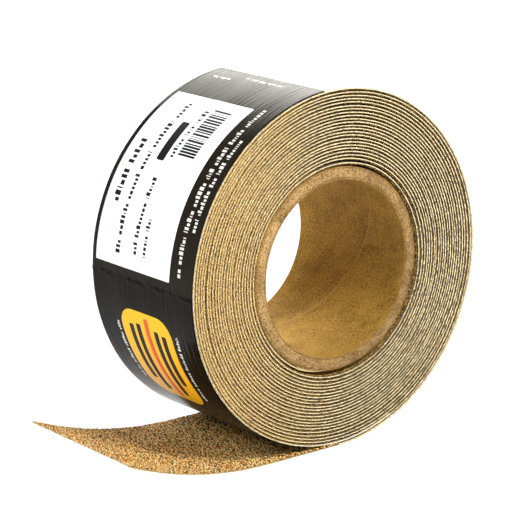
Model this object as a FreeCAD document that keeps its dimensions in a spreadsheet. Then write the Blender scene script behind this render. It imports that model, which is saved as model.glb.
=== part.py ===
import FreeCAD, Part
import Sketcher
import math
import os

from FreeCAD import Placement, Rotation, Vector

# A roll of hook-and-loop backed sandpaper, standing on its rim with its free end pulled out.
# The roll's axis is Y, Z is up, the origin is the centre of the core's bore, and the free end
# (the tail) runs along the floor towards -X. The front face is the one at -Y.
# Angles are seen from the front: 0 is +X, 90 is up, 180 is -X, 270 is the floor.

DIMENSIONS = {
    # The strip: three layers, glued face to face. The abrasive faces the roll's centre.
    "strip_width": 69.85,
    "abrasive_thickness": 0.3,
    "paper_thickness": 0.35,
    "loop_thickness": 0.5,
    # The paperboard core: a bare tube between two thin facing plies.
    "bore_radius": 38.1,
    "liner_radius": 38.7,
    "tube_radius": 42.9,
    "core_radius": 43.5,
    # The coil. The first turn lies loosely round the core, so the coil hangs off centre.
    "coil_inner_radius": 45.1,
    "coil_pitch": 1.37,
    "coil_full_turns": 22,
    "coil_start_angle": 240,
    "coil_centre_x": 1.33,
    "coil_centre_z": -0.57,
    "glue_bead_span": 32,
    # The tail: flat on the floor as far as the first crease, then curling upwards.
    "tail_crease_x": -36,
    "tail_curl_radius": 179,
    "tail_middle_span": 11.7,
    "tail_tip_span": 11.7,
    "crease_gap": 0.3,
    # The printed band glued round the outside, and the sticker on it.
    "band_clearance": 0.1,
    "band_thickness": 0.25,
    "band_top_angle": 96,
    "band_bottom_angle": 258,
    "band_inset": 0.4,
    "band_glue_span": 8,
    "band_glue_inset": 3,
    "sticker_gap": 0.02,
    "sticker_thickness": 0.15,
    "sticker_top_angle": 115.5,
    "sticker_bottom_angle": 177,
    "sticker_front_y": -19.3,
    "sticker_back_y": 31.7,
}

document = FreeCAD.newDocument("AbrasiveRoll")
sheet = document.addObject("Spreadsheet::Sheet", "Dimensions")
for row, (alias, number) in enumerate(DIMENSIONS.items(), start=1):
    sheet.set("A%d" % row, alias.replace("_", " "))
    sheet.set("B%d" % row, str(number))
    sheet.setAlias("B%d" % row, alias)
document.recompute()


def size(alias):
    """A driving dimension, read back from the sheet."""
    return float(getattr(sheet, alias))


WIDTH = size("strip_width")
PAPER_START = size("abrasive_thickness")
LOOP_START = PAPER_START + size("paper_thickness")
STRIP_THICKNESS = LOOP_START + size("loop_thickness")

# The spiral is drawn as half turns about two centres, one above the other. Each half turn is
# half a pitch larger than the last, and the centres are half a pitch apart, so it is smooth.
HALF_TURNS = 2 * int(size("coil_full_turns")) + 1
HALF_PITCH = size("coil_pitch") / 2
COIL_X = size("coil_centre_x")
LEFT_CENTRE_Z = size("coil_centre_z") + HALF_PITCH / 2
RIGHT_CENTRE_Z = size("coil_centre_z") - HALF_PITCH / 2
LAST_RIGHT_RADIUS = size("coil_inner_radius") + HALF_TURNS * HALF_PITCH

TOP, BOTTOM = 90, 270
RIGHT_BOTTOM = BOTTOM - 360

# The tail's upper, abrasive face is at this height along its flat stretch.
TAIL_FACE_Z = RIGHT_CENTRE_Z - LAST_RIGHT_RADIUS
TAIL_CREASE_X = size("tail_crease_x")
CURL_RADIUS = size("tail_curl_radius")
CURL_CENTRE_Z = TAIL_FACE_Z + CURL_RADIUS


def on_circle(centre_x, centre_z, radius, angle):
    """The point of the front face at an angle on a circle."""
    turn = math.radians(angle)
    x = centre_x + radius * math.cos(turn)
    z = centre_z + radius * math.sin(turn)
    return Vector(x, -WIDTH / 2, z)


def arc(centre_x, centre_z, radius, start, end):
    """An arc on the front face, between two angles."""
    angles = (start, (start + end) / 2, end)
    points = [on_circle(centre_x, centre_z, radius, angle) for angle in angles]
    return Part.Arc(*points).toShape()


def coil_path(depth):
    """The coil, from its start at the core to the crease, at a depth outside its inner face."""
    radius = size("coil_inner_radius") + depth
    edges = [arc(COIL_X, LEFT_CENTRE_Z, radius, size("coil_start_angle"), TOP)]
    for half_turn in range(1, HALF_TURNS + 1):
        radius += HALF_PITCH
        if half_turn % 2:
            edges.append(arc(COIL_X, RIGHT_CENTRE_Z, radius, TOP, RIGHT_BOTTOM))
        else:
            edges.append(arc(COIL_X, LEFT_CENTRE_Z, radius, BOTTOM, TOP))
    floor_point = on_circle(COIL_X, RIGHT_CENTRE_Z, radius, BOTTOM)
    crease = Vector(TAIL_CREASE_X + size("crease_gap") / 2, floor_point.y, floor_point.z)
    edges.append(Part.LineSegment(floor_point, crease).toShape())
    return edges


def curl_path(depth, start_span, end_span):
    """Part of the tail's curl, between two spans in degrees from the first crease."""
    half_gap = math.degrees(size("crease_gap") / 2 / CURL_RADIUS)
    start = BOTTOM - start_span - half_gap
    end = BOTTOM - end_span + half_gap
    return [arc(TAIL_CREASE_X, CURL_CENTRE_Z, CURL_RADIUS + depth, start, end)]


def layer(inner_edges, outer_edges):
    """A layer of the strip between two paths, as wide as the strip."""
    start = Part.LineSegment(outer_edges[0].firstVertex().Point, inner_edges[0].firstVertex().Point)
    end = Part.LineSegment(inner_edges[-1].lastVertex().Point, outer_edges[-1].lastVertex().Point)
    outline = inner_edges + [end.toShape()] + outer_edges[::-1] + [start.toShape()]
    return Part.Face(Part.Wire(outline)).extrude(Vector(0, WIDTH, 0))


def shaped(label, shape):
    """A sub-part whose shape is worked out here from the sheet's sizes."""
    feature = document.addObject("Part::Feature", label)
    feature.Label = label
    feature.Shape = shape
    feature.Placement = Placement()
    return feature


def tube(label, outer_alias, inner_alias):
    """A plain tube about the bore's axis: a ring, padded both ways from the middle plane."""
    body = document.addObject("PartDesign::Body", label)
    body.Label = label
    plane = [item for item in body.Origin.OriginFeatures if item.Role == "XZ_Plane"][0]
    sketch = body.newObject("Sketcher::SketchObject", label + "_ring")
    sketch.AttachmentSupport = [(plane, "")]
    sketch.MapMode = "FlatFace"
    for alias in (outer_alias, inner_alias):
        circle = Part.Circle(Vector(0, 0, 0), Vector(0, 0, 1), size(alias))
        curve = sketch.addGeometry(circle, False)
        sketch.addConstraint(Sketcher.Constraint("Coincident", curve, 3, -1, 1))
        radius = sketch.addConstraint(Sketcher.Constraint("Radius", curve, size(alias)))
        sketch.setExpression("Constraints[%d]" % radius, "Dimensions." + alias)
    document.recompute()
    pad = body.newObject("PartDesign::Pad", label + "_pad")
    pad.Profile = sketch
    pad.SideType = "Symmetric"
    pad.setExpression("Length", "Dimensions.strip_width")
    document.recompute()
    return body


def dimension(*aliases):
    """An expression that adds up driving dimensions, for binding to the sheet."""
    return " + ".join("Dimensions." + alias for alias in aliases)


# The outside of the last turn on the left, where the band lies, and the layers on it outwards.
COIL_SURFACE = dimension("coil_inner_radius", "coil_pitch * Dimensions.coil_full_turns",
                         "abrasive_thickness", "paper_thickness", "loop_thickness")
BAND_INSIDE = COIL_SURFACE + " + " + dimension("band_clearance")
BAND_OUTSIDE = BAND_INSIDE + " + " + dimension("band_thickness")
STICKER_INSIDE = BAND_OUTSIDE + " + " + dimension("sticker_gap")
STICKER_OUTSIDE = STICKER_INSIDE + " + " + dimension("sticker_thickness")


def sector(name, radius, top, bottom, front, back):
    """A pie slice about the coil's left centre: its radius, two angles and two Y places."""
    pie = document.addObject("Part::Cylinder", name)
    pie.setExpression("Radius", radius)
    pie.setExpression("Angle", "(%s) - (%s)" % (bottom, top))
    pie.setExpression("Height", "(%s) - (%s)" % (back, front))
    turned = Rotation(Vector(1, 0, 0), 90) * Rotation(Vector(0, 0, 1), pie.evalExpression(top))
    pie.Placement = Placement(Vector(COIL_X, pie.evalExpression(back), LEFT_CENTRE_Z), turned)
    return pie


def cut(label, base, tool):
    """One solid less another."""
    result = document.addObject("Part::Cut", label)
    result.Label = label
    result.Base = base
    result.Tool = tool
    return result


def shell(label, inner, outer, *extent):
    """A thin curved sheet between two radii, lying on the coil's left side."""
    outside = sector(label + "_outside", outer, *extent)
    inside = sector(label + "_inside", inner, *extent)
    return cut(label, outside, inside)


def make_core():
    """The core: a paperboard tube with a thin ply inside it and another outside it."""
    return [
        tube("core_inner_liner", "liner_radius", "bore_radius"),
        tube("core_board_tube", "tube_radius", "liner_radius"),
        tube("core_outer_ply", "core_radius", "tube_radius"),
    ]


def make_glue_bead():
    """The bead of glue that holds the strip's first few centimetres to the core."""
    half_width = "Dimensions.strip_width / 2"
    end = dimension("coil_start_angle")
    start = end + " - Dimensions.glue_bead_span"
    outside = sector("bead_outside", dimension("coil_inner_radius"), start, end,
                     "-" + half_width, half_width)
    core = document.addObject("Part::Cylinder", "bead_inside")
    core.setExpression("Radius", dimension("core_radius"))
    core.setExpression("Height", dimension("strip_width"))
    core.Placement = Placement(Vector(0, WIDTH / 2, 0), Rotation(Vector(1, 0, 0), 90))
    return cut("start_glue_bead", outside, core)


def make_strip():
    """The strip's three layers, in three lengths that meet at the tail's two creases."""
    layers = {
        "abrasive_coat": (0, PAPER_START),
        "paper_backing": (PAPER_START, LOOP_START),
        "loop_fleece": (LOOP_START, STRIP_THICKNESS),
    }
    middle_end = size("tail_middle_span")
    tip_end = middle_end + size("tail_tip_span")
    pieces = []
    for name, depths in layers.items():
        coil = [coil_path(depth) for depth in depths]
        middle = [curl_path(depth, 0, middle_end) for depth in depths]
        tip = [curl_path(depth, middle_end, tip_end) for depth in depths]
        pieces.append(shaped("coil_" + name, layer(*coil)))
        pieces.append(shaped("tail_" + name, layer(*middle)))
        pieces.append(shaped("tail_tip_" + name, layer(*tip)))
    return pieces


def make_band():
    """The printed band, the lines of glue under its two ends, and the sticker on it."""
    top = dimension("band_top_angle")
    bottom = dimension("band_bottom_angle")
    edge = "Dimensions.strip_width / 2 - Dimensions.band_inset"
    glue_edge = "Dimensions.strip_width / 2 - Dimensions.band_glue_inset"
    glue_span = "Dimensions.band_glue_span"
    return [
        shell("printed_band", BAND_INSIDE, BAND_OUTSIDE, top, bottom, "-(%s)" % edge, edge),
        shell("band_top_glue", COIL_SURFACE, BAND_INSIDE,
              top, top + " + " + glue_span, "-(%s)" % glue_edge, glue_edge),
        shell("band_bottom_glue", COIL_SURFACE, BAND_INSIDE,
              bottom + " - " + glue_span, bottom, "-(%s)" % glue_edge, glue_edge),
        shell("size_sticker", STICKER_INSIDE, STICKER_OUTSIDE,
              dimension("sticker_top_angle"), dimension("sticker_bottom_angle"),
              dimension("sticker_front_y"), dimension("sticker_back_y")),
    ]


subparts = make_core() + [make_glue_bead()] + make_strip() + make_band()
document.recompute()

for item in document.Objects:
    if "Invalid" in item.State or "Error" in item.State:
        raise RuntimeError("%s did not recompute: %s" % (item.Label, item.State))
for item in subparts:
    if item.Shape.isNull() or not item.Shape.isValid() or item.Shape.Volume <= 0:
        raise RuntimeError("%s has no valid shape" % item.Label)

os.makedirs("parts", exist_ok=True)
for item in subparts:
    item.Shape.exportStep("parts/%s.step" % item.Label)
    box = item.Shape.BoundBox
    print("%-26s solids %d  volume %9.1f mm3  x %7.2f..%7.2f  y %6.2f..%6.2f  z %7.2f..%7.2f" % (
        item.Label, len(item.Shape.Solids), item.Shape.Volume,
        box.XMin, box.XMax, box.YMin, box.YMax, box.ZMin, box.ZMax))

first_crease = Vector(TAIL_CREASE_X, 0, TAIL_FACE_Z)
second_crease = on_circle(TAIL_CREASE_X, CURL_CENTRE_Z, CURL_RADIUS,
                          BOTTOM - size("tail_middle_span"))
print("first crease", first_crease, "second crease", second_crease)
print("floor z", TAIL_FACE_Z - STRIP_THICKNESS)
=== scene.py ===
import math

import bmesh
import bpy
import numpy as np
from mathutils import Matrix, Vector


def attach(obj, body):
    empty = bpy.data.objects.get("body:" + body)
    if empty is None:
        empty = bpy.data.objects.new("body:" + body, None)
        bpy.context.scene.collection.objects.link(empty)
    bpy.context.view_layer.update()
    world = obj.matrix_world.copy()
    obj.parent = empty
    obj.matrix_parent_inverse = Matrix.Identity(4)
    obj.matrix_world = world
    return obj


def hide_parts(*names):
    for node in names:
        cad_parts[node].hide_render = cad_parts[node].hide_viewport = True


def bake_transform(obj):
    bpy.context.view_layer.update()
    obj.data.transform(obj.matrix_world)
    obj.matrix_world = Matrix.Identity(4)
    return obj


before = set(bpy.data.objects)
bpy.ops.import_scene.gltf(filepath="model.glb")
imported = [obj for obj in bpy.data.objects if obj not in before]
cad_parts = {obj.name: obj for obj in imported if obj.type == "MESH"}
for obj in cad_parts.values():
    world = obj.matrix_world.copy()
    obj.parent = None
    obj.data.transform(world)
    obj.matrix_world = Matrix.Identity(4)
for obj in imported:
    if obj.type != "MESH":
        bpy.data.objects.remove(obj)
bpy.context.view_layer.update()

# A roll of hook-and-loop sandpaper on a paperboard core, with a printed band and a loose end.
# Lengths are millimetres unless they say otherwise, and become metres in loft().
# The roll's axis is Y and its front face is at -Y. Angles run from +X (0) over the top (90).
MM = 0.001
HALF_WIDTH = 34.925
FLOOR_Z = -77.9875
CREASE_U = 113.0  # the band's pinched crease, this far round it from its top edge
SEAM_LIP = 0.25  # the bore's seam has a raised lip, this far along the axis from the seam itself

# ---------------------------------------------------------------- helpers


def srgb(red, green, blue):
    """A colour given as 0-255 screen values, as linear RGBA."""
    linear = []
    for channel in (red, green, blue):
        c = channel / 255
        linear.append(c / 12.92 if c <= 0.04045 else ((c + 0.055) / 1.055) ** 2.4)
    return (*linear, 1.0)


def smooth(x, low, high):
    """0 below low, 1 above high, and a smooth step between."""
    t = np.clip((np.asarray(x, float) - low) / (high - low), 0, 1)
    return t * t * (3 - 2 * t)


def wander(seed, at, spacing):
    """Smooth noise between -1 and 1, sampled at positions, changing about every spacing."""
    at = np.asarray(at, float) / spacing
    knots = np.random.default_rng(seed).uniform(-1, 1, int(at.max()) + 4)
    whole = np.floor(at).astype(int)
    part = at - whole
    part = part * part * (3 - 2 * part)
    return knots[whole] * (1 - part) + knots[whole + 1] * part


def loft(name, rings, uv, wrap_rings=False, flat=False):
    """A closed mesh through rings[i, j] of points. Each ring closes; the ends get caps or join up.

    uv has one more column than rings, and one more row if the rings join up.
    """
    n, m = rings.shape[:2]
    rows = np.arange(n if wrap_rings else n - 1)
    columns = np.arange(m)
    i, j = (a.ravel() for a in np.meshgrid(rows, columns, indexing="ij"))
    i_next, j_next = (i + 1) % n, (j + 1) % m
    quads = np.stack([i * m + j, i_next * m + j, i_next * m + j_next, i * m + j_next], 1)
    corners = [(i, j), (i + 1, j), (i + 1, j + 1), (i, j + 1)]
    quad_uv = np.stack([uv[a, b] for a, b in corners], 1).reshape(-1, 2)
    if not wrap_rings:
        k = np.arange(m // 2 - 1)
        start = np.stack([k, k + 1, m - 2 - k, m - 1 - k], 1)
        end = (n - 1) * m + start[:, ::-1]
        caps = np.concatenate([start, end])
        cap_uv = uv[:, :m].reshape(-1, 2)[caps].reshape(-1, 2)
        quads = np.concatenate([quads, caps])
        quad_uv = np.concatenate([quad_uv, cap_uv])
    mesh = bpy.data.meshes.new(name)
    mesh.vertices.add(n * m)
    mesh.vertices.foreach_set("co", (rings.reshape(-1, 3) * MM).astype(np.float32).ravel())
    mesh.loops.add(quads.size)
    mesh.loops.foreach_set("vertex_index", quads.astype(np.int32).ravel())
    mesh.polygons.add(len(quads))
    mesh.polygons.foreach_set("loop_start", np.arange(0, quads.size, 4, dtype=np.int32))
    mesh.uv_layers.new(name="Flat")
    mesh.update(calc_edges=True)
    mesh.uv_layers["Flat"].data.foreach_set("uv", quad_uv.astype(np.float32).ravel())
    mesh.validate()
    form = bmesh.new()
    form.from_mesh(mesh)
    bmesh.ops.recalc_face_normals(form, faces=form.faces)
    form.to_mesh(mesh)
    form.free()
    mesh.polygons.foreach_set("use_smooth", np.full(len(mesh.polygons), not flat))
    thing = bpy.data.objects.new(name, mesh)
    bpy.context.scene.collection.objects.link(thing)
    return thing


def join(name, parts):
    """Several small pieces as one."""
    form = bmesh.new()
    for part in parts:
        form.from_mesh(part.data)
    mesh = bpy.data.meshes.new(name)
    form.to_mesh(mesh)
    form.free()
    for part in parts:
        old = part.data
        bpy.data.objects.remove(part)
        bpy.data.meshes.remove(old)
    mesh.polygons.foreach_set("use_smooth", [False] * len(mesh.polygons))
    thing = bpy.data.objects.new(name, mesh)
    bpy.context.scene.collection.objects.link(thing)
    return thing


def paint(thing, look):
    """One material for the whole piece."""
    thing.data.materials.clear()
    thing.data.materials.append(look)


def paint_edges(thing, look, inset=0.55):
    """Another material for the piece's two ends along the axis, and inset mm in from them."""
    mesh = thing.data
    mesh.materials.append(look)
    centres = np.empty(len(mesh.polygons) * 3, np.float32)
    mesh.polygons.foreach_get("center", centres)
    on_edge = np.abs(centres[1::3]) > (HALF_WIDTH - inset) * MM
    mesh.polygons.foreach_set("material_index", on_edge.astype(np.int32))


def finish_piece(thing, look, body, slot, *nodes):
    """Material, body and the CAD nodes that this piece stands for. The finish slot is not used.
    """
    paint(thing, look)
    if isinstance(body, str):
        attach(thing, body)
    else:
        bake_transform(thing)
    if nodes:
        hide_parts(*nodes)


# ---------------------------------------------------------------- materials


class Look:
    """A Principled material built node by node."""

    def __init__(self, name, **constants):
        """constants are the shader's own values, with _ for each space in a socket's name."""
        self.material = bpy.data.materials.new(name)
        self.material.use_nodes = True
        self.nodes = self.material.node_tree.nodes
        self.links = self.material.node_tree.links
        self.shader = self.nodes["Principled BSDF"]
        for socket, value in constants.items():
            self.shader.inputs[socket.replace("_", " ")].default_value = value

    def add(self, kind, inputs, **settings):
        node = self.nodes.new(kind)
        for key, value in settings.items():
            setattr(node, key, value)
        for key, value in inputs.items():
            self.feed(node.inputs[key], value)
        return node

    def feed(self, socket, value):
        if isinstance(value, bpy.types.NodeSocket):
            self.links.new(value, socket)
        else:
            socket.default_value = value

    def set(self, socket, value):
        self.feed(self.shader.inputs[socket], value)

    def place(self, stretch=(1, 1, 1), flat=False):
        """Coordinates in millimetres: the object's own, or those stored along the flat strip."""
        if flat:
            where = self.add("ShaderNodeUVMap", {}, uv_map="Flat").outputs[0]
            scale = stretch
        else:
            where = self.add("ShaderNodeTexCoord", {}).outputs["Object"]
            scale = tuple(s / MM for s in stretch)
        return self.add("ShaderNodeMapping", {"Vector": where, "Scale": scale}).outputs[0]

    def axis(self, where, index):
        return self.add("ShaderNodeSeparateXYZ", {"Vector": where}).outputs[index]

    def noise(self, where, scale, detail, roughness):
        inputs = {"Vector": where, "Scale": scale, "Detail": detail, "Roughness": roughness}
        return self.add("ShaderNodeTexNoise", inputs).outputs[0]

    def cells(self, where, scale, output="Distance"):
        inputs = {"Vector": where, "Scale": scale}
        return self.add("ShaderNodeTexVoronoi", inputs, voronoi_dimensions="2D").outputs[output]

    def ramp(self, factor, *stops):
        """Colours at positions. The first two stops are the lowest and the highest."""
        node = self.add("ShaderNodeValToRGB", {"Fac": factor})
        elements = node.color_ramp.elements
        for index, (position, colour) in enumerate(stops):
            element = elements[index] if index < 2 else elements.new(position)
            element.position = position
            element.color = colour
        return node.outputs[0]

    def grade(self, factor, low, high, start=0.0, end=1.0):
        """factor from start to end, as a number from low to high."""
        inputs = {0: factor, 1: start, 2: end, 3: low, 4: high}
        return self.add("ShaderNodeMapRange", inputs).outputs[0]

    def mix(self, factor, a, b, blend="MIX"):
        inputs = {"Factor": factor, 6: a, 7: b}
        node = self.add("ShaderNodeMix", inputs, data_type="RGBA", blend_type=blend)
        return node.outputs[2]

    def maths(self, operation, a, b=0.5):
        return self.add("ShaderNodeMath", {0: a, 1: b}, operation=operation).outputs[0]

    def blend(self, *shares):
        """The sum of (pattern, share) pairs."""
        total = None
        for pattern, share in shares:
            part = self.maths("MULTIPLY", pattern, share)
            total = part if total is None else self.maths("ADD", total, part)
        return total

    def bump(self, height, distance, strength=1.0, under=None):
        inputs = {"Height": height, "Distance": distance * MM, "Strength": strength}
        if under is not None:
            inputs["Normal"] = under
        return self.add("ShaderNodeBump", inputs).outputs[0]


def dust_and_painted_light(look, where, colour, most):
    """Gold dusting rubbed off the grit, in patches. It is thick on the roll's left side and thin on
    its right; this side-to-side fall is painted light from the left.
    """
    thin_share = 0.24
    left_x, right_x = -55.0, 0.0
    # Painted light: the share is full on the roll's left side and a quarter of that on its right.
    dust_and_light_share = look.grade(look.axis(look.place(), 0), most, most * thin_share, left_x, right_x)
    speckle = look.noise(where, scale=1.5, detail=3.0, roughness=0.8)
    dark, middle, light = srgb(66, 40, 0), srgb(156, 114, 34), srgb(252, 214, 132)
    gold = look.ramp(speckle, (0.42, dark), (0.56, light), (0.48, middle))
    patches = look.noise(where, scale=0.9, detail=3.0, roughness=0.7)
    cover = look.grade(patches, 0.0, 1.0, 0.38, 0.5)
    return look.mix(look.maths("MULTIPLY", cover, dust_and_light_share), colour, gold)


def painted_shade_towards(look, colour, way, most):
    """Painted shade: a little darker towards one side of the roll, which lies in the direction way.
    """
    painted_shade_colour = srgb(60, 40, 12)
    reach = 45.0
    inputs = {0: look.place(), 1: way}
    lean = look.add("ShaderNodeVectorMath", inputs, operation="DOT_PRODUCT").outputs["Value"]
    return look.mix(look.grade(lean, 0.0, most, -reach, reach), colour, painted_shade_colour, blend="MULTIPLY")


def grit_look(name, dark, middle, light, grain, painted_glint_share, dust_and_light=0.0):
    """Abrasive grains: each has its own tone and gloss. Painted glints make a few of them bright,
    and painted shade makes the pits between them dark.
    """
    look = Look(name, Specular_IOR_Level=0.25)
    where = look.place(flat=True)
    cell = look.cells(where, grain, output="Color")
    shade = look.add("ShaderNodeSeparateColor", {"Color": cell}).outputs[0]
    clumps = look.noise(where, scale=0.35, detail=4.0, roughness=0.7)
    tone = look.blend((shade, 0.85), (clumps, 0.3))
    colour = look.ramp(tone, (0.22, dark), (0.96, light), (0.42, middle), (0.82, middle))
    # Painted shade: the pits between the grains take the dark colour.
    pit_shade = look.cells(look.place((1.1, 0.8, 1), flat=True), 1.0)
    colour = look.mix(look.grade(pit_shade, 1.0, 0.0, 0.32, 0.42), colour, dark)
    # Painted glints: bright spots of the light colour, scaled by the glint share.
    painted_glints = look.cells(look.place((0.8, 1.1, 1), flat=True), 0.95)
    painted_glints = look.grade(painted_glints, 1.0, 0.0, 0.28, 0.36)
    colour = look.mix(look.maths("MULTIPLY", painted_glints, painted_glint_share), colour, light)
    # Cut edges get gold dusting with painted light from the left.
    if dust_and_light:
        colour = dust_and_painted_light(look, where, colour, dust_and_light)
    look.set("Base Color", colour)
    look.set("Roughness", look.grade(shade, 0.7, 0.15))
    edges = look.bump(look.cells(where, grain), -0.5)
    look.set("Normal", look.bump(shade, 0.3, under=edges))
    return look.material


def fleece_look(name, shade, tint, fuzz, dust_and_light=0.0):
    """Brushed loops, or the cut edge of a layer with gold dusting from the grit and painted light
    from the left on it.
    """
    look = Look(
        name, Roughness=0.95, Sheen_Weight=0.2, Sheen_Roughness=0.6, Specular_IOR_Level=0.1
    )
    where = look.place(flat=True)
    fibres = look.noise(
        look.place((2.2, 2.2, 2.2), flat=True), scale=1.0, detail=6.0, roughness=0.75
    )
    tufts = look.noise(where, scale=0.6, detail=3.0, roughness=0.6)
    colour = look.ramp(look.blend((fibres, 0.7), (tufts, 0.3)), (0.42, shade), (0.58, tint))
    # Cut edges get gold dusting with painted light from the left.
    if dust_and_light:
        colour = dust_and_painted_light(look, where, colour, dust_and_light)
    look.set("Base Color", colour)
    look.set("Normal", look.bump(fibres, fuzz, 0.8, under=look.bump(tufts, 0.3, 0.5)))
    return look.material


def board_look(name, dark, light, speck):
    """Grey-brown paperboard pulp with dark specks, and painted shade that darkens it at the lower
    right.
    """
    look = Look(name, Specular_IOR_Level=0.2)
    where = look.place()
    fibres = look.noise(where, scale=1.5, detail=5.0, roughness=0.85)
    patches = look.noise(where, scale=0.12, detail=3.0, roughness=0.6)
    pulp = look.ramp(look.blend((fibres, 0.8), (patches, 0.2)), (0.42, dark), (0.58, light))
    specks = look.noise(where, scale=1.7, detail=2.0, roughness=0.5)
    colour = look.mix(look.grade(specks, 0.0, 0.8, 0.64, 0.7), pulp, speck)
    # Painted shade darkens the board towards the lower right.
    look.set("Base Color", painted_shade_towards(look, colour, way=(0.9, 0, -0.4), most=0.34))
    look.set("Roughness", look.grade(fibres, 0.8, 1.0))
    look.set("Normal", look.bump(fibres, 0.25, 0.8))
    return look.material


def kraft_look(name):
    """The bore: smooth kraft paper, its fibres and its seam along the winding helix. The seam's lip
    carries a painted highlight, and painted shade darkens the bore towards its right, front and
    top.
    """
    dark, light = srgb(108, 74, 8), srgb(234, 186, 88)
    lip, scuff = srgb(224, 180, 100), srgb(74, 44, 4)
    look = Look(name, Specular_IOR_Level=0.1)
    where = look.place(flat=True)
    streaks = look.noise(
        look.place((0.16, 1.5, 1.0), flat=True), scale=1.0, detail=5.0, roughness=0.7
    )
    clouds = look.noise(where, scale=0.07, detail=3.0, roughness=0.6)
    pulp = look.noise(
        look.place((0.8, 1.5, 1.0), flat=True), scale=1.2, detail=5.0, roughness=0.85
    )
    tone = look.blend((streaks, 0.2), (clouds, 0.15), (pulp, 0.65))
    paper = look.ramp(tone, (0.42, dark), (0.58, light))
    # Painted highlight: the seam's raised lip is painted in the paler lip colour.
    off = look.maths("ABSOLUTE", look.maths("SUBTRACT", look.axis(where, 1), SEAM_LIP))
    paper = look.mix(look.grade(off, 0.7, 0.0, 0.15, 0.45), paper, lip)
    marks = look.noise(
        look.place((0.35, 1.1, 1.0), flat=True), scale=1.0, detail=2.0, roughness=0.5
    )
    paper = look.mix(look.grade(marks, 0.0, 0.5, 0.7, 0.78), paper, scuff)
    # Painted shade: darker towards the bore's right, its front and its top.
    look.set("Base Color", painted_shade_towards(look, paper, way=(0.5, -1.0, 0.5), most=0.5))
    look.set("Roughness", look.grade(streaks, 0.5, 0.8))
    look.set("Normal", look.bump(pulp, 0.15, 0.7, under=look.bump(streaks, 0.15, 0.5)))
    return look.material


def film_look(name):
    """Glossy black printed film, with draw lines round the roll. A painted reflection makes it
    paler above the crease, and painted shade darkens a thin line along the crease.
    """
    look = Look(name, Specular_IOR_Level=0.05)
    where = look.place(flat=True)
    lines = look.noise(
        look.place((0.035, 0.6, 1.0), flat=True), scale=1.0, detail=2.0, roughness=0.6
    )
    haze = look.noise(where, scale=0.08, detail=3.0, roughness=0.5)
    colour = look.ramp(haze, (0.3, srgb(11, 9, 4)), (0.75, srgb(17, 14, 7)))
    jagged = look.noise(
        look.place((0.1, 0.5, 1.0), flat=True), scale=1.0, detail=4.0, roughness=0.7
    )
    around = look.maths("ADD", look.axis(where, 0), look.maths("MULTIPLY", jagged, 5.0))
    # Painted reflection: the film is paler above the crease.
    above = look.grade(around, 0.8, 0.0, CREASE_U + 2.2, CREASE_U + 2.6)
    colour = look.mix(above, colour, srgb(36, 32, 24))
    # Painted shade: a thin dark line along the crease.
    off = look.maths("ABSOLUTE", look.maths("SUBTRACT", around, CREASE_U + 2.5))
    colour = look.mix(look.grade(off, 1.0, 0.0, 0.5, 1.0), colour, srgb(2, 2, 1))
    look.set("Base Color", colour)
    look.set("Roughness", look.grade(lines, 0.08, 0.28, 0.35, 0.7))
    look.set("Normal", look.bump(lines, 0.14, 0.9, under=look.bump(haze, 0.2, 0.2)))
    return look.material


def paper_look(name, shade, tint, shine):
    """Smooth label paper."""
    look = Look(name)
    where = look.place()
    fibres = look.noise(where, scale=1.4, detail=5.0, roughness=0.6)
    clouds = look.noise(where, scale=0.1, detail=2.0, roughness=0.5)
    tone = look.blend((fibres, 0.4), (clouds, 0.6))
    look.set("Base Color", look.ramp(tone, (0.3, shade), (0.7, tint)))
    look.set("Roughness", look.grade(fibres, shine, shine + 0.2))
    look.set("Normal", look.bump(fibres, 0.02, 0.5))
    return look.material


def ink_look(name, colour, worn, shine):
    """Printing ink, with small worn spots."""
    look = Look(name, Specular_IOR_Level=0.14)
    wear = look.noise(look.place(), scale=2.2, detail=4.0, roughness=0.7)
    look.set("Base Color", look.mix(look.grade(wear, 0.0, 0.6, 0.6, 0.8), colour, worn))
    look.set("Roughness", look.grade(wear, shine, shine + 0.2))
    look.set("Normal", look.bump(wear, 0.01, 0.4))
    return look.material


def glue_look(name):
    """Dried amber glue."""
    look = Look(name)
    blobs = look.noise(look.place(), scale=0.5, detail=3.0, roughness=0.5)
    look.set("Base Color", look.ramp(blobs, (0.3, srgb(196, 160, 96)), (0.7, srgb(228, 205, 150))))
    look.set("Roughness", look.grade(blobs, 0.25, 0.5))
    look.set("Normal", look.bump(blobs, 0.2, 0.6))
    return look.material


# The grit's cut edge: the same grit as its face, painted much darker as shade in the gaps between
# turns.
GRIT_EDGE_SHADED = grit_look(
    "grit_cut_edge_painted_shade",
    dark=srgb(4, 1, 0),
    middle=srgb(84, 50, 4),
    light=srgb(255, 208, 104),
    grain=1.3,
    painted_glint_share=0.7,
    dust_and_light=0.95,
)
GRIT_FACE = grit_look(
    "grit_face",
    dark=srgb(6, 2, 0),
    middle=srgb(224, 132, 14),
    light=srgb(255, 230, 158),
    grain=1.7,
    painted_glint_share=1.0,
)
FLEECE_EDGE = fleece_look(
    "fleece_cut_edge", srgb(192, 152, 84), srgb(255, 250, 212), fuzz=0.2, dust_and_light=0.85
)
FLEECE_FACE = fleece_look("fleece_face", srgb(200, 194, 180), srgb(248, 245, 236), fuzz=0.4)
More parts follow.
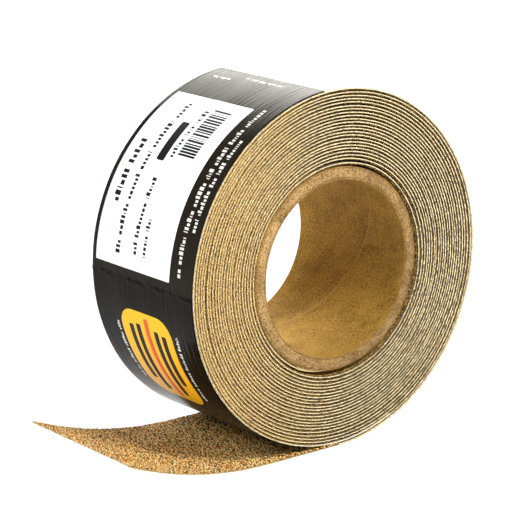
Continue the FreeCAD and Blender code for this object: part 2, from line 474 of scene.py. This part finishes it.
# The backing paper's cut edge, painted near black as shade in the gaps between turns.
PAPER_EDGE_SHADED = fleece_look(
    "backing_paper_edge_painted_shade", srgb(10, 5, 0), srgb(72, 44, 4), fuzz=0.1, dust_and_light=0.95
)
BOARD = board_look("core_board", srgb(98, 70, 30), srgb(200, 162, 106), srgb(72, 46, 14))
OUTER_PLY = board_look("core_outer_ply", srgb(98, 68, 28), srgb(176, 140, 82), srgb(66, 42, 14))
KRAFT = kraft_look("kraft_liner")
FILM = film_look("black_film")
STICKER = paper_look("sticker_paper", srgb(240, 240, 242), srgb(252, 252, 252), shine=0.35)
BLACK_INK = ink_look("black_ink", srgb(14, 14, 14), srgb(40, 38, 36), shine=0.4)
WHITE_INK = ink_look("white_ink", srgb(222, 220, 214), srgb(120, 116, 108), shine=0.25)
YELLOW_INK = ink_look("yellow_ink", srgb(248, 184, 4), srgb(214, 146, 6), shine=0.25)
ORANGE_INK = ink_look("orange_ink", srgb(226, 84, 26), srgb(186, 58, 18), shine=0.25)
GLUE = glue_look("dried_glue")

# ---------------------------------------------------------------- the strip's path

# The layers' thicknesses. The path follows the grit's free face.
GRIT, PAPER, FLEECE = 0.3, 0.33, 0.5
INNER_FLEECE = 0.41  # thinner between turns, so that gaps show
FLEECE_START = GRIT + PAPER

# The coil, with its turns hanging a little loose towards SLACK_ANGLE: how much, at which turn.
TURNS = 22 + 11 / 12
START_ANGLE = 240
FIRST_RADIUS = 43.6
PITCH = 1.362
SLACK_TURNS = (0, 0.35, 0.72, 1.75, 3, 17, TURNS)
SLACK = (0, 0, 0.5, 0.8, 0.88, 0.95, 1.45)
SLACK_ANGLE = 337
COIL_SAMPLES = 90000

# On the left a gap opens between two turns and closes again over the next few.
GAP = 0.36
GAP_ANGLE = 165
GAP_OPENS = (17.3, 17.7)
GAP_CLOSES = (18.5, 21.5)

# The turns' radius wobbles, by so much over so many steps of a fortieth of a turn.
WOBBLE_STEPS = 40
LONG_WOBBLE, LONG_SPACING = 0.11, 2.3
SHORT_WOBBLE, SHORT_SPACING = 0.02, 0.6

# The last turn is the CAD's: two half turns about these centres, then flat, then the curl.
LAST_TURN = (21.85, 22.3)  # from loose to the CAD's, between these turns
LEFT_CENTRE = (1.33, -0.2275)
RIGHT_CENTRE = (1.33, -0.9125)
LEFT_RADIUS, RIGHT_RADIUS = 75.24, 75.925
FLAT_Z = RIGHT_CENTRE[1] - RIGHT_RADIUS
CREASE_X = -36.0
CURL_RADIUS = 179.0
CURL_SPAN = math.radians(23.4)
SPLIT_X = -54  # where the tail's two lengths meet, between the creases


def on_circle(angle, radius):
    return np.stack([radius * np.cos(angle), radius * np.sin(angle)], 1)


def on_curl(bend):
    """The (x, z) of the curled end, after it has turned by bend."""
    return CREASE_X - CURL_RADIUS * np.sin(bend), FLAT_Z + CURL_RADIUS * (1 - np.cos(bend))


def coil_points(turn):
    """The grit face's (x, z) at each turn count, about where the photograph shows it."""
    angle = np.radians(START_ANGLE - 360 * turn)
    slack = np.interp(turn, SLACK_TURNS, SLACK)
    radius = FIRST_RADIUS + PITCH * turn + slack * (1 + np.cos(angle - math.radians(SLACK_ANGLE)))
    left = smooth(np.cos(angle - math.radians(GAP_ANGLE)), 0.2, 0.9)
    radius += GAP * left * smooth(turn, *GAP_OPENS) * (1 - smooth(turn, *GAP_CLOSES))
    steps = turn * WOBBLE_STEPS + 1
    wobble = LONG_WOBBLE * wander(5, steps, LONG_SPACING)
    wobble += SHORT_WOBBLE * wander(6, steps, SHORT_SPACING)
    loose = on_circle(angle, radius + wobble)
    left_side = (np.sin(angle - math.pi / 2) >= 0)[:, None]
    left_point = on_circle(angle, LEFT_RADIUS) + LEFT_CENTRE
    right_point = on_circle(angle, RIGHT_RADIUS) + RIGHT_CENTRE
    last = np.where(left_side, left_point, right_point)
    share = smooth(turn, *LAST_TURN)[:, None]
    return loose * (1 - share) + last * share


def whole_path():
    """The strip from the core to its free end, as fine points with their turn counts."""
    turn = np.linspace(0, TURNS, COIL_SAMPLES + 1)
    flat_x = np.linspace(RIGHT_CENTRE[0], CREASE_X, 200)[1:]
    flat = np.stack([flat_x, np.full(len(flat_x), FLAT_Z)], 1)
    curl = np.stack(on_curl(np.linspace(0, CURL_SPAN, 400)[1:]), 1)
    points = np.concatenate([coil_points(turn), flat, curl])
    length = np.concatenate([[0], np.cumsum(np.linalg.norm(np.diff(points, axis=0), axis=1))])
    turns = np.concatenate([turn, np.full(len(flat) + len(curl), TURNS)])
    return length, points, turns


LENGTH, POINTS, TURN_AT = whole_path()
OUTER_TURN = float(np.interp(LAST_TURN[0], TURN_AT[: COIL_SAMPLES + 1], LENGTH[: COIL_SAMPLES + 1]))
COIL_LENGTH = LENGTH[COIL_SAMPLES]
SPLIT = float(np.interp(-SPLIT_X, -POINTS[COIL_SAMPLES:, 0], LENGTH[COIL_SAMPLES:]))
END = LENGTH[-1]


def at_length(s, values):
    return np.interp(s, LENGTH, values)


def along(start, end, step):
    """Even samples of the path: length, point, outward direction, turn count."""
    s = np.linspace(start, end, max(2, int(round((end - start) / step)) + 1))
    reach = 0.4
    here, ahead, behind = (
        np.stack([at_length(place, POINTS[:, k]) for k in (0, 1)], 1)
        for place in (s, np.minimum(s + reach, END), np.maximum(s - reach, 0))
    )
    tangent = ahead - behind
    tangent /= np.linalg.norm(tangent, axis=1)[:, None]
    outward = np.stack([-tangent[:, 1], tangent[:, 0]], 1)
    return s, here, outward, at_length(s, TURN_AT)


def edge_shift(turn):
    """How far the turns slide past each other, so the roll's faces aren't quite flat."""
    count = int(TURNS) + 4
    per_turn = np.random.default_rng(11).uniform(-0.16, 0.16, count)
    lean = np.interp(turn, np.arange(count), per_turn) + 0.1 * wander(12, turn * 30 + 1, 11)
    return lean * (1 - smooth(turn, 22.4, TURNS))


# ---------------------------------------------------------------- the strip's layers


def ribbon(name, span, step, rows, depths, rough, seed, flat=False, relief=None, inset=(0, 0)):
    """A layer of the strip: the span of the path between two depths, rows points wide.

    Its edges are ragged, and inset by the first amount on the roll's left side and the second on
    its right.
    """
    s, here, outward, turn = along(*span, step)
    rng = np.random.default_rng(seed)
    across = np.linspace(-1, 1, rows)
    y = np.concatenate([across, across[::-1]]) * HALF_WIDTH
    depth = np.repeat(np.array(depths, float), rows)
    n, m = len(s), 2 * rows
    y = np.tile(y, (n, 1))
    depth = np.tile(depth, (n, 1))
    ragged = rng.uniform(-1, 1, (n, 4)) * rough
    set_in = np.interp(here[:, 0], (-55, 5), inset)
    for column, side in ((0, 0), (rows - 1, 1), (rows, 1), (m - 1, 0)):
        sign = 2 * side - 1
        draw = side + (column > 1)
        y[:, column] += sign * (ragged[:, draw] - rough - set_in)
    y += edge_shift(turn)[:, None]
    if relief is not None:
        depth += relief(rng, n, rows)
    rings = np.empty((n, m, 3))
    rings[:, :, 0] = here[:, None, 0] + outward[:, None, 0] * depth
    rings[:, :, 1] = y
    rings[:, :, 2] = here[:, None, 1] + outward[:, None, 1] * depth
    uv = np.stack([np.tile(s[:, None], (1, m)), y + depth * 1.7], 2)
    uv = np.concatenate([uv, uv[:, :1]], 1)
    return loft(name, rings, uv, flat=flat)


def grains(rng, n, rows):
    """Sharp grains standing up out of the grit face, which is the first half of each ring."""
    height = np.zeros((n, 2 * rows))
    height[:, :rows] = -rng.uniform(0, 1, (n, rows)) ** 3 * 0.5 + 0.12
    return height


def velour(rng, n, rows):
    """Brushed loops on the fleece's outer face, which is the second half of each ring."""
    height = np.zeros((n, 2 * rows))
    height[:, rows:] = rng.uniform(-0.16, 0.0, (n, rows))
    return height


# The coil. Its last turn of fleece is finer than the others, because its outer face shows.
coil_grit = ribbon(
    "coil_grit_layer",
    span=(0, COIL_LENGTH),
    step=0.5,
    rows=2,
    depths=(0, GRIT),
    rough=0.25,
    seed=21,
    flat=True,
    inset=(0.2, 0.9),
)
finish_piece(coil_grit, GRIT_EDGE_SHADED, "roll", "grit", "coil_abrasive_coat")

coil_paper = ribbon(
    "coil_paper_layer",
    span=(0, COIL_LENGTH),
    step=1.0,
    rows=2,
    depths=(GRIT, FLEECE_START),
    rough=0.06,
    seed=22,
    inset=(0.3, 0.9),
)
finish_piece(coil_paper, PAPER_EDGE_SHADED, "roll", "backing_paper", "coil_paper_backing")

inner_fleece = ribbon(
    "coil_fleece_inner_turns",
    span=(0, OUTER_TURN),
    step=0.9,
    rows=3,
    depths=(FLEECE_START, FLEECE_START + INNER_FLEECE),
    rough=0.2,
    seed=23,
    flat=True,
)
# Painted shade: the inner turns' fleece takes the dark paper edge colour as shade between the
# turns, and only its cut edges take the fleece edge colour.
finish_piece(inner_fleece, PAPER_EDGE_SHADED, "roll", "fleece", "coil_loop_fleece")
paint_edges(inner_fleece, FLEECE_EDGE)

outer_fleece = ribbon(
    "coil_fleece_outer_turn",
    span=(OUTER_TURN, COIL_LENGTH),
    step=0.9,
    rows=84,
    depths=(FLEECE_START, FLEECE_START + FLEECE + 0.02),
    rough=0.2,
    seed=24,
    relief=velour,
)
finish_piece(outer_fleece, FLEECE_FACE, "roll", "fleece", "coil_loop_fleece")
paint_edges(outer_fleece, FLEECE_EDGE)


def tail_length(name, span, bend, nodes):
    """One length of the tail, in its three layers, which all follow the same stretch of the path.
    Its bend goes in as the pieces' body, which leaves them unattached with their transforms baked
    in.
    """
    grit = ribbon(
        f"tail_{name}_grit",
        span,
        step=0.33,
        rows=210,
        depths=(0, GRIT),
        rough=0.2,
        seed=31,
        flat=True,
        relief=grains,
    )
    paper = ribbon(
        f"tail_{name}_paper",
        span,
        step=1.0,
        rows=60,
        depths=(GRIT, FLEECE_START),
        rough=0.05,
        seed=32,
    )
    fleece = ribbon(
        f"tail_{name}_fleece",
        span,
        step=0.8,
        rows=90,
        depths=(FLEECE_START, FLEECE_START + FLEECE),
        rough=0.2,
        seed=33,
        relief=velour,
    )
    finish_piece(grit, GRIT_FACE, bend, "grit", nodes + "abrasive_coat")
    finish_piece(paper, PAPER_EDGE_SHADED, bend, "backing_paper", nodes + "paper_backing")
    finish_piece(fleece, FLEECE_FACE, bend, "fleece", nodes + "loop_fleece")
    paint_edges(fleece, FLEECE_EDGE)


def bend_at(parent, child, crease):
    middle = Vector((crease[0], 0, crease[1])) * MM
    reach = Vector((12, 0, 0)) * MM
    return parent, child, middle + reach, middle - reach


lift_bend = bend_at("roll", "tail", (CREASE_X, FLAT_Z))
tip_bend = bend_at("tail", "tail_tip", on_curl(CURL_SPAN / 2))
tail_length("near", (COIL_LENGTH, SPLIT), lift_bend, "tail_")
tail_length("far", (SPLIT, END), tip_bend, "tail_tip_")

# ---------------------------------------------------------------- the core

# The bore's helical seam: how far it moves along the axis for a degree, and a point on it.
SEAM_PITCH = 0.311
SEAM_ANGLE, SEAM_Y = 30.8, -18.1

LINER = (38.1, 38.68)
TUBE = (38.72, 42.88)
FACING = (42.92, 43.5)


def seam_offset(angle, y):
    """Distance along the axis from the bore's seam, which repeats every turn."""
    off = y - (SEAM_Y + SEAM_PITCH * (SEAM_ANGLE - angle))
    lead = SEAM_PITCH * 360
    return (off + lead / 2) % lead - lead / 2


def seam_height(off):
    """The seam's raised lip, and the slightly thinner ply on one side of it."""
    lip = 0.08 * (1 - smooth(np.abs(off - SEAM_LIP), 0.1, 0.5))
    return lip - 0.10 * np.exp(-np.abs(off) / 12) * (off < 0)


def tube(name, radii, step, rows, seed, rough_end, seam=False):
    """A tube along the roll's axis. Its section is inner face, back end, outer face, front end."""
    inner, outer = radii
    angle = np.arange(0, 360, step)
    span = np.linspace(-HALF_WIDTH, HALF_WIDTH, rows)
    rng = np.random.default_rng(seed)
    ends = np.linspace(0, 1, 5)[1:-1]
    y = np.concatenate([span, np.full(3, HALF_WIDTH), span[::-1], np.full(3, -HALF_WIDTH)])
    inner_to_outer = inner + (outer - inner) * ends
    outer_to_inner = outer + (inner - outer) * ends
    r = np.concatenate(
        [np.full(rows, float(inner)), inner_to_outer, np.full(rows, float(outer)), outer_to_inner]
    )
    n, m = len(angle), len(y)
    y = np.tile(y, (n, 1))
    r = np.tile(r, (n, 1))
    at_end = np.abs(y) > HALF_WIDTH - 0.01
    y += rng.uniform(-1, 0, (n, m)) * rough_end * np.sign(y) * at_end
    if seam:
        r[:, :rows] += seam_height(seam_offset(angle[:, None], y[:, :rows]))
    turn = np.radians(angle)[:, None]
    rings = np.stack([r * np.cos(turn), y, r * np.sin(turn)], 2)
    full = np.append(angle, 360.0)[:, None]
    wide, deep = (np.pad(grid, ((0, 1), (0, 1)), mode="wrap") for grid in (y, r))
    across = seam_offset(full, wide) + (deep - inner) if seam else wide + deep
    uv = np.stack([np.radians(full) * inner + 0 * wide, across], 2)
    return loft(name, rings, uv, wrap_rings=True)


liner = tube("core_liner", LINER, step=1.0, rows=110, seed=41, rough_end=0.05, seam=True)
finish_piece(liner, KRAFT, "roll", "kraft_liner", "core_inner_liner")
paint_edges(liner, OUTER_PLY, inset=0.08)
board = tube("core_board", TUBE, step=0.75, rows=6, seed=42, rough_end=0.12)
finish_piece(board, BOARD, "roll", "core_board", "core_board_tube")
facing = tube("core_facing_ply", FACING, step=0.75, rows=6, seed=43, rough_end=0.1)
finish_piece(facing, OUTER_PLY, "roll", "core_facing", "core_outer_ply")


def glue_bead():
    """The bead fills the wedge where the strip starts, under its second turn."""
    base = 43.52
    rows = 50
    angle = np.linspace(START_ANGLE + 1.0, START_ANGLE + 24, 60)
    top = 1.15 * (1 - smooth(angle, START_ANGLE + 2, START_ANGLE + 26)) + 0.08
    across = np.linspace(-HALF_WIDTH + 0.6, HALF_WIDTH - 0.8, rows)
    y = np.tile(np.concatenate([across, across[::-1]]), (len(angle), 1))
    y += 0.25 * wander(51, angle - START_ANGLE, 2.5)[:, None]
    under = np.full((len(angle), rows), base)
    over = np.tile(base + top[:, None], (1, rows))
    r = np.concatenate([under, over], 1)
    turn = np.radians(angle)[:, None]
    rings = np.stack([r * np.cos(turn), y, r * np.sin(turn)], 2)
    return loft("start_glue", rings, np.zeros((len(angle), 2 * rows + 1, 2)))


finish_piece(glue_bead(), GLUE, "roll", "glue", "start_glue_bead")

# ---------------------------------------------------------------- the printed band

# Places on the band are u mm round it from its top edge and v mm along the roll's axis.
BAND_OUTER = 76.74
BAND_THICKNESS = 0.25
BAND_TOP, BAND_BOTTOM = 96, 258
BAND_HALF = 34.525
U_PER_DEGREE = math.radians(1) * 76.8
BAND_LENGTH = (BAND_BOTTOM - BAND_TOP) * U_PER_DEGREE


def ripple(u, v):
    """The film's low waves and its pinched crease, which break up its reflections."""
    wave = np.sin(v * 0.16 + u * 0.05)
    wave = wave + np.sin(u * 0.21 - v * 0.07 + 2.0)
    wave = wave + np.sin(v * 0.31 + u * 0.02 + 1.0)
    crease = u - CREASE_U - 0.9 * np.sin(v * 0.35) - 0.5 * np.sin(v * 0.9 + 1)
    return 0.03 * (wave + 3) + 0.24 * np.exp(-((crease / 0.9) ** 2))


def wrapped(u, v, lift):
    """The point at u and v, lift mm above the band."""
    angle = np.radians(BAND_TOP + u / U_PER_DEGREE)
    radius = BAND_OUTER + lift + ripple(u, v)
    x = LEFT_CENTRE[0] + radius * np.cos(angle)
    z = LEFT_CENTRE[1] + radius * np.sin(angle)
    return np.stack([x, v + 0 * x, z], -1)


def patch(name, u_from, u_to, v_from, v_to, low, high, corner=0.0, step=1.0):
    """A thin sheet wrapped round the band between two heights, with rounded corners."""
    rows = max(2, int(abs(v_to - v_from) / step) + 1)
    u = np.linspace(u_from, u_to, max(3, int(abs(u_to - u_from) / step) + 1))
    inset = np.zeros(len(u))
    if corner:
        near = corner * (1 - np.cos(np.linspace(0, math.pi / 2, 7)))
        middle = u[(u > u_from + corner) & (u < u_to - corner)]
        u = np.unique(np.concatenate([u_from + near, middle, u_to - near]))
        short = np.clip(corner - np.minimum(u - u_from, u_to - u), 0, corner)
        inset = corner - np.sqrt(np.maximum(corner**2 - short**2, (corner * 0.05) ** 2))
    across = np.linspace(0, 1, rows)
    v = (v_from + inset)[:, None] + (v_to - v_from - 2 * inset)[:, None] * across[None, :]
    uu = np.tile(u[:, None], (1, rows))
    rings = np.concatenate([wrapped(uu, v, low), wrapped(uu, v, high)[:, ::-1]], 1)
    flat = np.stack([uu, v], 2)
    uv = np.concatenate([flat, flat[:, ::-1], flat[:, :1]], 1)
    return loft(name, rings, uv)


band = patch(
    "printed_film_band",
    u_from=0,
    u_to=BAND_LENGTH,
    v_from=-BAND_HALF,
    v_to=BAND_HALF,
    low=-BAND_THICKNESS,
    high=0,
    corner=0.6,
    step=0.9,
)
finish_piece(band, FILM, "roll", "band_film", "printed_band")
sticker = patch(
    "white_size_sticker",
    u_from=26,
    u_to=108.5,
    v_from=-19.3,
    v_to=31.7,
    low=0.02,
    high=0.17,
    corner=0.5,
    step=0.8,
)
finish_piece(sticker, STICKER, "roll", "sticker_paper", "size_sticker")
for node in ("band_top_glue", "band_bottom_glue"):
    paint(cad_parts[node], GLUE)

# ---------------------------------------------------------------- the printing

INK = 0.02
ON_STICKER = 0.165
ON_BAND = -0.01
ON_BADGE = (ON_BAND + 0.01, ON_BAND + 0.04)

# Lines of print: from and to along u, the place along v, the height and a seed.
STICKER_LINES = (
    (54, 85, 25, 3.8, 61),
    (31.5, 103.5, 16.8, 2.9, 62),
    (33.5, 60.7, 3.0, 2.7, 63),
    (69, 103.3, 5.5, 2.7, 64),
    (86, 103.8, -0.8, 2.7, 65),
)
MARGIN_LINES = (
    (25, 105.7, -25, 2.6, 71),
    (43.5, 86, -29.5, 2.4, 72),
)
BADGE_LINES = (
    (134, 166, 21.0, 1.8, 74),
    (132, 166, -20.5, 1.8, 75),
)
# These run across the band: from and to along v, the place along u, the height and a seed.
TOP_LINES = (
    (17, 29, 9.5, 1.7, 76),
    (-13, 11, 5.5, 1.7, 77),
)
STICKER_BOX = (41.5, 61.4, 6.0, 11.0)
BARCODE_U = (31.6, 56.5)
BARCODE_V = (-11.1, -0.4)
BADGE = (126, 173, -17, 18)
BADGE_STRIPE = (128.5, 170.5, -1.4, 1.4)
# The badge's bars: from and to along u, and the lower edge along v.
BADGE_BARS = ((134, 160, -12.5), (133, 168, -7.5), (132, 168, 4.5), (133, 162, 9.5))
BAR_WIDTH = 3


def words(start, end, place, height, seed, lift, turned=False):
    """A row of plain blocks in uneven groups, standing for a line of print.

    It runs along u from start to end, with its middle at place. Turned, it runs along v.
    """
    rng = np.random.default_rng(seed)
    parts = []
    at = start
    while at < end - height:
        for _ in range(rng.integers(3, 9)):
            wide = height * rng.choice([0.16, 0.4, 0.4, 0.55])
            tall = height * rng.choice([0.66, 0.66, 1.0])
            if at + wide > end:
                break
            foot = place - height / 2
            block = (at, at + wide, foot, foot + tall)
            if turned:
                block = block[2:] + block[:2]
            parts.append(patch("block", *block, lift, lift + INK))
            at += wide + height * 0.24
        at += height * 0.55
    return parts


def barcode():
    """Plain stripes of uneven widths."""
    rng = np.random.default_rng(66)
    at, end = BARCODE_U
    parts = []
    while at < end:
        wide = rng.choice([0.35, 0.7, 1.05])
        parts.append(patch("stripe", at, at + wide, *BARCODE_V, ON_STICKER, ON_STICKER + INK))
        at += wide + rng.choice([0.35, 0.7])
    return parts


def printed_lines(lines, lift, turned=False):
    parts = []
    for line in lines:
        parts += words(*line, lift, turned)
    return parts


sticker_print = printed_lines(STICKER_LINES, ON_STICKER)
sticker_print.append(patch("box", *STICKER_BOX, ON_STICKER, ON_STICKER + INK, corner=1.0))
sticker_print += barcode()
finish_piece(join("sticker_printing", sticker_print), BLACK_INK, "roll", "sticker_paper")

margin_print = join("band_margin_printing", printed_lines(MARGIN_LINES, ON_BAND))
finish_piece(margin_print, WHITE_INK, "roll", "band_film")

badge = patch("band_badge", *BADGE, ON_BAND, ON_BAND + INK, corner=9.0)
finish_piece(badge, YELLOW_INK, "roll", "band_film")
stripe = patch("band_badge_stripe", *BADGE_STRIPE, *ON_BADGE, corner=1.2)
finish_piece(stripe, ORANGE_INK, "roll", "band_film")
bars = []
for bar_start, bar_end, foot in BADGE_BARS:
    bars.append(patch("bar", bar_start, bar_end, foot, foot + BAR_WIDTH, *ON_BADGE, corner=0.8))
finish_piece(join("band_badge_bars", bars), BLACK_INK, "roll", "band_film")

side_print = printed_lines(BADGE_LINES, ON_BAND) + printed_lines(TOP_LINES, ON_BAND, turned=True)
finish_piece(join("band_side_printing", side_print), WHITE_INK, "roll", "band_film")

# ---------------------------------------------------------------- studio, in metres

FLOOR_HALF = 12.0
FLOOR_GAP = 0.0001

floor_z = FLOOR_Z * MM - FLOOR_GAP
floor_corners = []
for x, y in ((-1, -1), (1, -1), (1, 1), (-1, 1)):
    floor_corners.append((x * FLOOR_HALF, y * FLOOR_HALF, floor_z))
floor_mesh = bpy.data.meshes.new("floor")
floor_mesh.from_pydata(floor_corners, [], [(0, 1, 2, 3)])
floor = bpy.data.objects.new("floor", floor_mesh)
bpy.context.scene.collection.objects.link(floor)
floor_look = Look(
    "floor_white",
    Base_Color=(0.62, 0.62, 0.62, 1),
    Roughness=0.8,
    Specular_IOR_Level=0.1,
    Emission_Color=(1, 1, 1, 1),
    Emission_Strength=0.62,
)
paint(floor, floor_look.material)


def studio_world():
    """White all round, bright at the horizon and dimmer overhead."""
    horizon, overhead = 0.85, 0.16
    low, high = 0.02, 0.5
    world = bpy.data.worlds.new("studio")
    world.use_nodes = True
    nodes = world.node_tree.nodes
    links = world.node_tree.links
    direction = nodes.new("ShaderNodeTexCoord")
    height = nodes.new("ShaderNodeSeparateXYZ")
    fade = nodes.new("ShaderNodeMapRange")
    links.new(direction.outputs["Generated"], height.inputs[0])
    links.new(height.outputs[2], fade.inputs[0])
    for index, value in enumerate((low, high, horizon, overhead), start=1):
        fade.inputs[index].default_value = value
    backdrop = nodes["Background"]
    backdrop.inputs[0].default_value = (1, 1, 1, 1)
    links.new(fade.outputs[0], backdrop.inputs[1])
    return world


def softbox(name, at, target, size, power, colour=(1, 1, 1)):
    """A rectangular area light that faces its target."""
    lamp = bpy.data.lights.new(name, "AREA")
    lamp.shape = "RECTANGLE"
    lamp.size, lamp.size_y = size
    lamp.energy = power
    lamp.color = colour
    thing = bpy.data.objects.new(name, lamp)
    away = (Vector(at) - Vector(target)).normalized()
    facing_target = away.to_track_quat("Z", "Y").to_matrix().to_4x4()
    thing.matrix_world = Matrix.Translation(at) @ facing_target
    bpy.context.scene.collection.objects.link(thing)


WARM = (1.0, 0.97, 0.92)
ROLL_CENTRE = (0, 0, 0)
TAIL_SIDE = (-0.05, 0, -0.05)
softbox("back_softbox", (0.75, 1.3, 0.85), ROLL_CENTRE, (1.3, 0.7), 19, WARM)
softbox("front_softbox", (0.05, -0.55, 0.65), ROLL_CENTRE, (0.35, 0.3), 8.6)
softbox("left_softbox", (-1.1, 0.0, 0.9), TAIL_SIDE, (0.6, 0.6), 11)
bpy.context.scene.world = studio_world()

# The camera stands where a camera fitted to the photograph's rims, bore and core stands.
EYE = Vector((-0.61303, -0.74819, 0.25399))
FORWARD = Vector((0.60479, 0.75366, -0.25735)).normalized()
camera = bpy.data.cameras.new("camera")
camera.sensor_width = 36
camera.lens = 161.25
camera_thing = bpy.data.objects.new("camera", camera)
looking = FORWARD.to_track_quat("-Z", "Y").to_matrix().to_4x4()
camera_thing.matrix_world = Matrix.Translation(EYE) @ looking
bpy.context.scene.collection.objects.link(camera_thing)
bpy.context.scene.camera = camera_thing
bpy.context.scene.view_settings.view_transform = "Standard"
